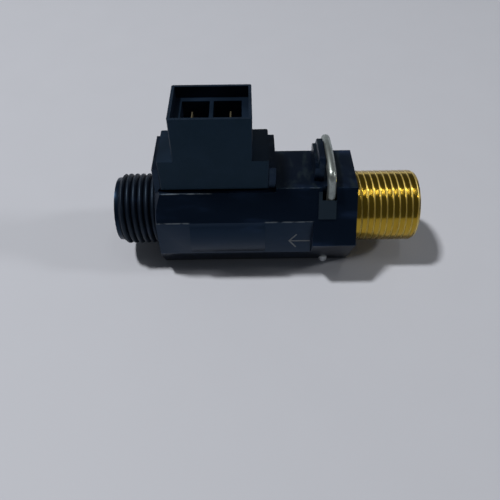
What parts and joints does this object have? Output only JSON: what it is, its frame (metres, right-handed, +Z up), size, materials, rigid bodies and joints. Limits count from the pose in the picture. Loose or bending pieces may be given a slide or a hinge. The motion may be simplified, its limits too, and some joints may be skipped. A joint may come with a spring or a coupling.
{
  "type": "flow switch",
  "caption": "In-line water flow switch: black hexagonal body, brass threaded inlet held by a wire clip, threaded plastic outlet and a plug-in reed switch module on top.",
  "frame": {"origin": "under the middle of the part, on the surface that its lower flat rests on", "axes": "+X along the flow axis towards the brass inlet, +Z up towards the switch module, +Y to the back"},
  "size_m": [0.088, 0.0334, 0.051],
  "materials": {
    "black_plastic": "satin",
    "black_gloss_plastic": "semi-gloss",
    "brass": "machined",
    "clip_steel": "drawn wire",
    "black_rubber": "matte",
    "white_plastic": "satin",
    "steel_mesh": "woven",
    "magnet": "matte",
    "plated_contact": "plated",
    "reed_glass": "clear",
    "reed_metal": "plated"
  },
  "bodies": {
    "body": {"valve_body": "black_plastic", "seat_ring": "white_plastic", "seat_o_ring": "black_rubber", "spring_guide": "white_plastic", "return_spring": "clip_steel", "switch_housing": "black_gloss_plastic", "reed_cover": "black_gloss_plastic", "reed_glass": "reed_glass", "reed_blade_left": "reed_metal", "reed_blade_right": "reed_metal", "terminal_left": "plated_contact", "terminal_right": "plated_contact"},
    "inlet": {"inlet_nipple": "brass", "inlet_o_ring": "black_rubber", "strainer_frame": "white_plastic", "strainer_mesh": "steel_mesh"},
    "clip": {"retaining_clip": "clip_steel"},
    "piston": {"piston": "white_plastic", "piston_magnet": "magnet", "magnet_retainer": "white_plastic"}
  },
  "joints": [
    {"name": "piston_slide", "type": "slide", "parent": "body", "child": "piston", "axis": [-1, 0, 0], "range_m": [0, 0.007], "stiffness_N_per_m": 80, "springref_m": -0.01, "deforming": ["return_spring"]},
    {"name": "inlet_swivel", "type": "hinge", "parent": "body", "child": "inlet", "pos_m": [0.02468, 0, 0.0145], "axis": [1, 0, 0], "continuous": true},
    {"name": "clip_pull", "type": "slide", "parent": "body", "child": "clip", "axis": [0, 0, 1], "range_m": [0, 0.03]}
  ]
}
